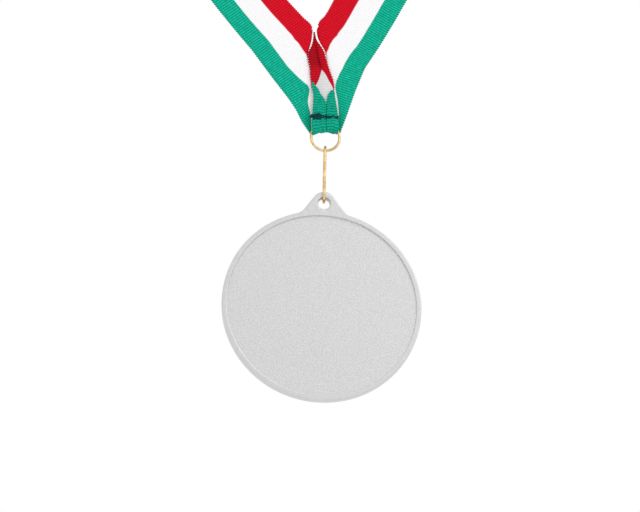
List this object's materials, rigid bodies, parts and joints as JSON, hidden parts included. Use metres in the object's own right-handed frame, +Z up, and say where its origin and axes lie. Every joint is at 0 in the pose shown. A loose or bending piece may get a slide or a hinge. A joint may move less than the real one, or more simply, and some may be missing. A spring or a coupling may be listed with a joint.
{
  "type": "finisher medal on a neck ribbon",
  "caption": "Round metal finisher medal with a raised rim and tab, hung by a wire link and ring from a striped neck ribbon sewn into a loop.",
  "frame": {"origin": "the point on the ribbon's inner side that rests on the nape of the neck, at the mount neck_rest", "axes": "+Z up as the medal hangs, -Y the way its plain face looks, +X to the right seen from that side"},
  "size_m": [0.2123, 0.135, 0.3002],
  "materials": {
    "silver": "matt silver plate, sand-blasted field and satin rim",
    "gold_wire": "bright pale gold plate on round wire",
    "ribbon": "ribbed grosgrain, woven in green, white and red stripes",
    "thread": "twisted polyester sewing thread"
  },
  "bodies": {
    "ribbon": {"neck_ribbon": "ribbon", "ribbon_end_left": "ribbon", "ribbon_end_right": "ribbon", "seam_thread": "thread"},
    "ring": {"ribbon_ring": "gold_wire"},
    "link": {"connecting_link": "gold_wire"},
    "medal": {"medal_body": "silver"}
  },
  "joints": [
    {"name": "ring_swing", "type": "hinge", "parent": "ribbon", "child": "ring", "pos_m": [0, -0.131, -0.1849], "axis": [1, 0, 0], "range_deg": [-45, 45]},
    {"name": "link_swing", "type": "hinge", "parent": "ring", "child": "link", "pos_m": [0, -0.131, -0.1951], "axis": [1, 0, 0], "range_deg": [-80, 80]},
    {"name": "medal_swing", "type": "hinge", "parent": "link", "child": "medal", "pos_m": [0, -0.131, -0.2143], "axis": [0, 1, 0], "range_deg": [-90, 90]}
  ]
}
